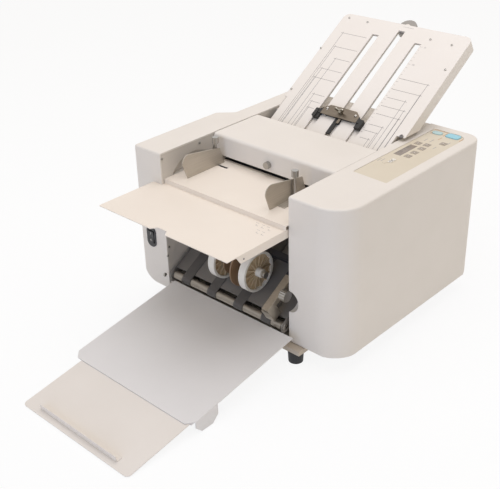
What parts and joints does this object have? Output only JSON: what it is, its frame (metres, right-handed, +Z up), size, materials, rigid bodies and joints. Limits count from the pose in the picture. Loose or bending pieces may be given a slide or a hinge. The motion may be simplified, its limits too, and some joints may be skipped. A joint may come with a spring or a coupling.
{
  "type": "paper folding machine",
  "caption": "Desk paper folding machine with feed tray and guides, hinged top cover, slotted fold plate, ribbed stacker wheels, folding conveyor and delivery tray.",
  "frame": {"origin": "on the desk under the centre of the whole machine, trays out", "axes": "+Z up, +Y to the rear of the machine, +X to the operator's right"},
  "size_m": [0.52, 1.0292, 0.5089],
  "materials": {
    "cover_paint": "fine satin off-white",
    "frame_paint": "satin off-white",
    "tray_paint": "satin cream",
    "delivery_paint": "satin light grey",
    "guide_steel": "brushed",
    "bright_steel": "ground",
    "dark_steel": "matt black",
    "roller_rubber": "matt",
    "feed_rubber": "matt",
    "belt_rubber": "matt",
    "white_nylon": "satin",
    "tan_nylon": "satin",
    "black_plastic": "fine satin",
    "grey_plastic": "satin",
    "panel_film": "satin tan",
    "display_window": "gloss grey",
    "start_blue": "sky blue",
    "stop_blue": "pale blue",
    "bed_paint": "satin mid grey",
    "bronzed_steel": "dark bronze",
    "bracket_beige": "satin beige"
  },
  "bodies": {
    "base": {"left_side_frame": "frame_paint", "right_side_frame": "frame_paint", "chassis_pan": "frame_paint", "front_baffle": "dark_steel", "left_side_cover": "cover_paint", "right_side_cover": "cover_paint", "rear_cover": "cover_paint", "pivot_pins": "bright_steel", "foot_brackets": "bracket_beige", "rubber_feet": "roller_rubber", "feed_table": "tray_paint", "feed_tray": "tray_paint", "separator_pad": "feed_rubber", "roller_bearings": "white_nylon", "drive_motor": "dark_steel", "drive_belt": "belt_rubber", "conveyor_drive_belt": "belt_rubber", "lower_fold_plate": "guide_steel", "power_inlet": "black_plastic", "upper_fold_plate": "tray_paint", "upper_plate_backing": "tray_paint", "conveyor_bed": "bed_paint", "conveyor_belts": "belt_rubber", "control_panel": "panel_film", "lcd_window": "display_window", "power_switch_bezel": "black_plastic"},
    "lid": {"top_cover": "cover_paint"},
    "pressure_knob": {"feed_pressure_knob": "black_plastic"},
    "left_guide": {"left_paper_guide": "guide_steel"},
    "left_screw": {"left_clamp_screw": "bright_steel"},
    "right_guide": {"right_paper_guide": "guide_steel"},
    "right_screw": {"right_clamp_screw": "bright_steel"},
    "main_roller": {"main_fold_roller": "roller_rubber", "main_gear": "white_nylon"},
    "upper_roller": {"upper_fold_roller": "roller_rubber", "upper_gear": "white_nylon"},
    "rear_roller": {"rear_fold_roller": "roller_rubber", "rear_gear": "white_nylon"},
    "lower_roller": {"lower_fold_roller": "roller_rubber", "lower_gear": "white_nylon"},
    "idler": {"idler_gear": "white_nylon"},
    "feed_drum": {"feed_roller": "feed_rubber", "feed_gear": "white_nylon"},
    "motor_shaft": {"motor_pulley": "bright_steel"},
    "conveyor_front": {"conveyor_front_roller": "bright_steel"},
    "conveyor_rear": {"conveyor_rear_roller": "bright_steel"},
    "stacker_slider": {"stacker_arm": "guide_steel"},
    "stacker_axle": {"stacker_wheels": "tan_nylon", "stacker_shaft": "bright_steel"},
    "stacker_screw": {"stacker_knob": "guide_steel"},
    "plate_stop": {"paper_stop": "bronzed_steel"},
    "plate_stop_screw": {"stop_knob": "black_plastic"},
    "dial": {"skew_dial": "grey_plastic"},
    "lower_stop": {"lower_paper_stop": "black_plastic"},
    "tray": {"delivery_tray": "delivery_paint"},
    "extension": {"tray_extension": "tray_paint", "extension_stop": "tray_paint"},
    "rocker": {"power_rocker": "black_plastic"},
    "start": {"start_key": "start_blue"},
    "stop": {"stop_key": "stop_blue"}
  },
  "joints": [
    {"name": "top_cover_hinge", "type": "hinge", "parent": "base", "child": "lid", "pos_m": [-0.012, 0.17236, 0.332], "axis": [-1, 0, 0], "range_deg": [0, 75]},
    {"name": "feed_pressure_turn", "type": "hinge", "parent": "lid", "child": "pressure_knob", "pos_m": [-0.028, 0.04936, 0.316], "axis": [0, 1, 0], "range_deg": [-150, 150]},
    {"name": "left_guide_slide", "type": "slide", "parent": "base", "child": "left_guide", "axis": [1, 0, 0], "range_m": [-0.014, 0.029]},
    {"name": "left_clamp_turn", "type": "hinge", "parent": "left_guide", "child": "left_screw", "pos_m": [-0.1525, 0.02636, 0.35], "axis": [0, 0, 1], "range_deg": [0, 360]},
    {"name": "right_guide_slide", "type": "slide", "parent": "base", "child": "right_guide", "axis": [1, 0, 0], "range_m": [-0.029, 0.029]},
    {"name": "right_clamp_turn", "type": "hinge", "parent": "right_guide", "child": "right_screw", "pos_m": [0.0785, 0.00436, 0.35], "axis": [0, 0, 1], "range_deg": [0, 360]},
    {"name": "main_roller_spin", "type": "hinge", "parent": "base", "child": "main_roller", "pos_m": [-0.012, 0.14336, 0.2745], "axis": [-1, 0, 0], "continuous": true},
    {"name": "upper_roller_spin", "type": "hinge", "parent": "base", "child": "upper_roller", "pos_m": [-0.012, 0.1343, 0.30831], "axis": [-1, 0, 0], "continuous": true},
    {"name": "rear_roller_spin", "type": "hinge", "parent": "base", "child": "rear_roller", "pos_m": [-0.012, 0.17635, 0.26282], "axis": [-1, 0, 0], "continuous": true},
    {"name": "lower_roller_spin", "type": "hinge", "parent": "base", "child": "lower_roller", "pos_m": [-0.012, 0.13668, 0.24014], "axis": [-1, 0, 0], "continuous": true},
    {"name": "idler_spin", "type": "hinge", "parent": "base", "child": "idler", "pos_m": [-0.012, 0.10997, 0.29075], "axis": [-1, 0, 0], "continuous": true},
    {"name": "feed_roller_spin", "type": "hinge", "parent": "base", "child": "feed_drum", "pos_m": [-0.012, 0.08436, 0.3146], "axis": [-1, 0, 0], "continuous": true},
    {"name": "motor_spin", "type": "hinge", "parent": "base", "child": "motor_shaft", "pos_m": [-0.012, 0.14036, 0.096], "axis": [-1, 0, 0], "continuous": true},
    {"name": "conveyor_front_spin", "type": "hinge", "parent": "base", "child": "conveyor_front", "pos_m": [-0.012, -0.08764, 0.07], "axis": [-1, 0, 0], "continuous": true},
    {"name": "conveyor_rear_spin", "type": "hinge", "parent": "base", "child": "conveyor_rear", "pos_m": [-0.012, 0.08808, 0.17558], "axis": [-1, 0, 0], "continuous": true},
    {"name": "stacker_slide", "type": "slide", "parent": "base", "child": "stacker_slider", "axis": [0, 0.8572, 0.515], "range_m": [-0.01, 0.03]},
    {"name": "stacker_wheel_spin", "type": "hinge", "parent": "stacker_slider", "child": "stacker_axle", "pos_m": [-0.012, -0.06607, 0.14865], "axis": [-1, 0, 0], "continuous": true},
    {"name": "stacker_knob_turn", "type": "hinge", "parent": "stacker_slider", "child": "stacker_screw", "pos_m": [0.118, -0.08012, 0.1332], "axis": [1, 0, 0], "range_deg": [0, 360]},
    {"name": "paper_stop_slide", "type": "slide", "parent": "base", "child": "plate_stop", "axis": [0, 0.8434, 0.5373], "range_m": [-0.013, 0.2]},
    {"name": "stop_knob_turn", "type": "hinge", "parent": "plate_stop", "child": "plate_stop_screw", "pos_m": [-0.012, 0.25973, 0.36685], "axis": [0, -0.5373, 0.8434], "range_deg": [0, 360]},
    {"name": "skew_dial_turn", "type": "hinge", "parent": "base", "child": "dial", "pos_m": [-0.012, 0.49125, 0.49478], "axis": [0, -0.5373, 0.8434], "range_deg": [-60, 60]},
    {"name": "lower_stop_slide", "type": "slide", "parent": "base", "child": "lower_stop", "axis": [0, 0.6428, -0.766], "range_m": [-0.09, 0.065]},
    {"name": "delivery_tray_hinge", "type": "hinge", "parent": "base", "child": "tray", "pos_m": [0.004, -0.10364, 0.06], "axis": [-1, 0, 0], "range_deg": [0, 40]},
    {"name": "extension_slide", "type": "slide", "parent": "tray", "child": "extension", "axis": [0, 0.9882, 0.153], "range_m": [0, 0.11]},
    {"name": "power_rocker_tilt", "type": "hinge", "parent": "base", "child": "rocker", "pos_m": [-0.227, -0.09814, 0.147], "axis": [1, 0, 0], "range_deg": [-6, 6]},
    {"name": "start_key_press", "type": "slide", "parent": "base", "child": "start", "axis": [0, 0, -1], "range_m": [0, 0.001], "stiffness_N_per_m": 300, "springref_m": -0.001},
    {"name": "stop_key_press", "type": "slide", "parent": "base", "child": "stop", "axis": [0, 0, -1], "range_m": [0, 0.001], "stiffness_N_per_m": 300, "springref_m": -0.001}
  ],
  "couplings": [
    {"joint": "upper_roller_spin", "follows": "main_roller_spin", "ratio": -1},
    {"joint": "rear_roller_spin", "follows": "main_roller_spin", "ratio": -1},
    {"joint": "lower_roller_spin", "follows": "main_roller_spin", "ratio": -1},
    {"joint": "idler_spin", "follows": "main_roller_spin", "ratio": 1.4},
    {"joint": "feed_roller_spin", "follows": "main_roller_spin", "ratio": -0.77778},
    {"joint": "motor_spin", "follows": "main_roller_spin", "ratio": 2},
    {"joint": "conveyor_rear_spin", "follows": "main_roller_spin", "ratio": -1},
    {"joint": "conveyor_front_spin", "follows": "main_roller_spin", "ratio": -1},
    {"joint": "stacker_wheel_spin", "follows": "main_roller_spin", "ratio": 0.24524}
  ]
}
